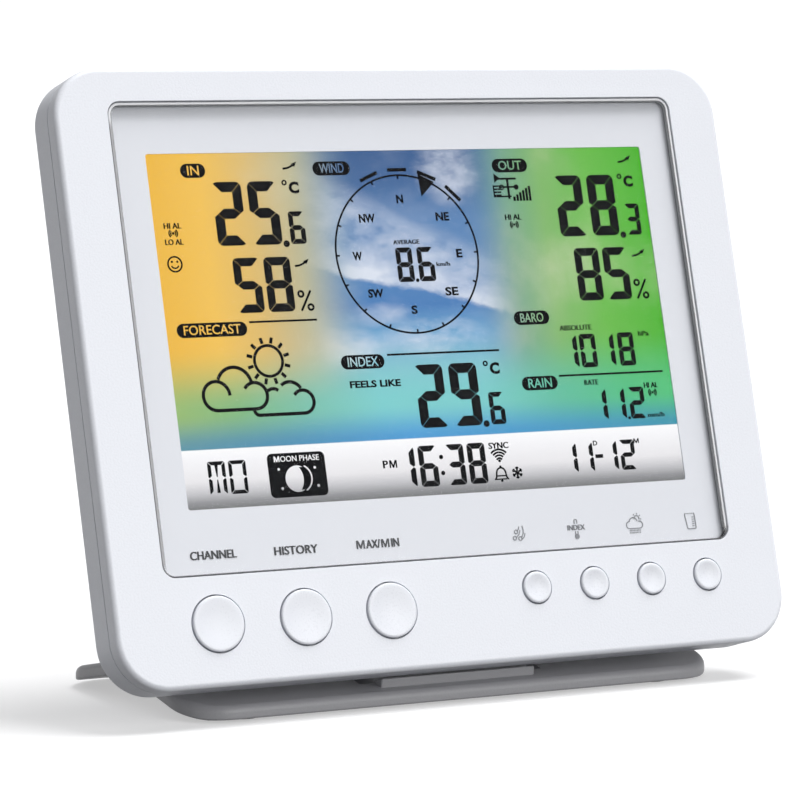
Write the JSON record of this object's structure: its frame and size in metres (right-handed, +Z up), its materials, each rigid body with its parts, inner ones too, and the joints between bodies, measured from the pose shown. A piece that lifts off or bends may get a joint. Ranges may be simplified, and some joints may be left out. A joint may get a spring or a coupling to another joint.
{
  "type": "desktop weather station console",
  "caption": "White desk weather-station console with a colour display, round front buttons and a back-leaning case plugged into an arched grey plastic table stand.",
  "frame": {"origin": "centre of the footprint on the table, so the bottom centre of the whole box", "axes": "+Z up, the display faces -Y, +X is the viewer's right"},
  "size_m": [0.168, 0.0726, 0.1389],
  "materials": {
    "white_shell": "satin white moulded ABS with a fine pearl grain",
    "white_button": "smooth white moulded key caps",
    "display_border": "pale grey-white printed border behind the lens",
    "clear_lens": "clear acrylic display window",
    "lcd_glass": "colour LCD glass, lit from behind",
    "diffuser_film": "milky diffuser film",
    "light_guide_acrylic": "polished clear acrylic plate",
    "tray_white": "white moulded tray",
    "board_green": "green solder mask on glass epoxy board",
    "led_board_white": "white component body",
    "keypad_silicone": "grey silicone",
    "black_plastic": "black moulded plastic",
    "nickel": "nickel-plated sheet",
    "cell_steel": "bright stainless steel",
    "screw_steel": "zinc-plated steel",
    "ribbon_grey": "grey flat cable",
    "stand_grey": "satin silver-grey moulded plastic",
    "foot_rubber": "black rubber"
  },
  "bodies": {
    "stand": {"stand_base": "stand_grey", "stand_foot_1": "foot_rubber", "stand_foot_2": "foot_rubber", "stand_foot_3": "foot_rubber", "stand_foot_4": "foot_rubber"},
    "console": {"front_shell": "white_shell", "rear_shell": "white_shell", "display_lens": "clear_lens", "display_mask": "display_border", "lcd_panel": "lcd_glass", "diffuser_sheet": "diffuser_film", "light_guide": "light_guide_acrylic", "led_strip": "led_board_white", "backlight_tray": "tray_white", "rubber_keypad": "keypad_silicone", "key_board": "board_green", "main_board": "board_green", "radio_module": "nickel", "buzzer": "black_plastic", "dc_jack": "black_plastic", "climate_sensor": "led_board_white", "coin_cell": "cell_steel", "cell_contact": "nickel", "ribbon_cable": "ribbon_grey", "case_screw_1": "screw_steel", "case_screw_2": "screw_steel", "case_screw_3": "screw_steel", "case_screw_4": "screw_steel"},
    "button_channel": {"button_channel": "white_button"},
    "button_history": {"button_history": "white_button"},
    "button_max_min": {"button_max_min": "white_button"},
    "button_wind": {"button_wind": "white_button"},
    "button_index": {"button_index": "white_button"},
    "button_rain": {"button_rain": "white_button"},
    "button_baro": {"button_baro": "white_button"},
    "snooze_bar": {"snooze_bar": "white_button"},
    "rear_key_1": {"rear_key_1": "white_button"},
    "rear_key_2": {"rear_key_2": "white_button"},
    "rear_key_3": {"rear_key_3": "white_button"},
    "rear_key_4": {"rear_key_4": "white_button"},
    "backlight_switch": {"backlight_switch": "black_plastic"},
    "battery_door": {"battery_door": "white_shell"}
  },
  "joints": [
    {"name": "console_lift", "type": "slide", "parent": "stand", "child": "console", "axis": [0, 0.2639, 0.9646], "range_m": [0, 0.03]},
    {"name": "button_channel_press", "type": "slide", "parent": "console", "child": "button_channel", "axis": [0, 0.9646, -0.2639], "range_m": [0, 0.0007], "stiffness_N_per_m": 800, "springref_m": -0.0004},
    {"name": "button_history_press", "type": "slide", "parent": "console", "child": "button_history", "axis": [0, 0.9646, -0.2639], "range_m": [0, 0.0007], "stiffness_N_per_m": 800, "springref_m": -0.0004},
    {"name": "button_max_min_press", "type": "slide", "parent": "console", "child": "button_max_min", "axis": [0, 0.9646, -0.2639], "range_m": [0, 0.0007], "stiffness_N_per_m": 800, "springref_m": -0.0004},
    {"name": "button_wind_press", "type": "slide", "parent": "console", "child": "button_wind", "axis": [0, 0.9646, -0.2639], "range_m": [0, 0.0007], "stiffness_N_per_m": 800, "springref_m": -0.0004},
    {"name": "button_index_press", "type": "slide", "parent": "console", "child": "button_index", "axis": [0, 0.9646, -0.2639], "range_m": [0, 0.0007], "stiffness_N_per_m": 800, "springref_m": -0.0004},
    {"name": "button_rain_press", "type": "slide", "parent": "console", "child": "button_rain", "axis": [0, 0.9646, -0.2639], "range_m": [0, 0.0007], "stiffness_N_per_m": 800, "springref_m": -0.0004},
    {"name": "button_baro_press", "type": "slide", "parent": "console", "child": "button_baro", "axis": [0, 0.9646, -0.2639], "range_m": [0, 0.0007], "stiffness_N_per_m": 800, "springref_m": -0.0004},
    {"name": "snooze_bar_press", "type": "slide", "parent": "console", "child": "snooze_bar", "axis": [0, -0.2639, -0.9646], "range_m": [0, 0.0007], "stiffness_N_per_m": 600, "springref_m": -0.0004},
    {"name": "rear_key_1_press", "type": "slide", "parent": "console", "child": "rear_key_1", "axis": [0, -0.9646, 0.2639], "range_m": [0, 0.0006], "stiffness_N_per_m": 800, "springref_m": -0.0004},
    {"name": "rear_key_2_press", "type": "slide", "parent": "console", "child": "rear_key_2", "axis": [0, -0.9646, 0.2639], "range_m": [0, 0.0006], "stiffness_N_per_m": 800, "springref_m": -0.0004},
    {"name": "rear_key_3_press", "type": "slide", "parent": "console", "child": "rear_key_3", "axis": [0, -0.9646, 0.2639], "range_m": [0, 0.0006], "stiffness_N_per_m": 800, "springref_m": -0.0004},
    {"name": "rear_key_4_press", "type": "slide", "parent": "console", "child": "rear_key_4", "axis": [0, -0.9646, 0.2639], "range_m": [0, 0.0006], "stiffness_N_per_m": 800, "springref_m": -0.0004},
    {"name": "backlight_switch_slide", "type": "slide", "parent": "console", "child": "backlight_switch", "axis": [1, 0, 0], "range_m": [-0.0025, 0.0025]},
    {"name": "battery_door_pull", "type": "slide", "parent": "console", "child": "battery_door", "axis": [0, 0.9646, -0.2639], "range_m": [0, 0.02]}
  ]
}
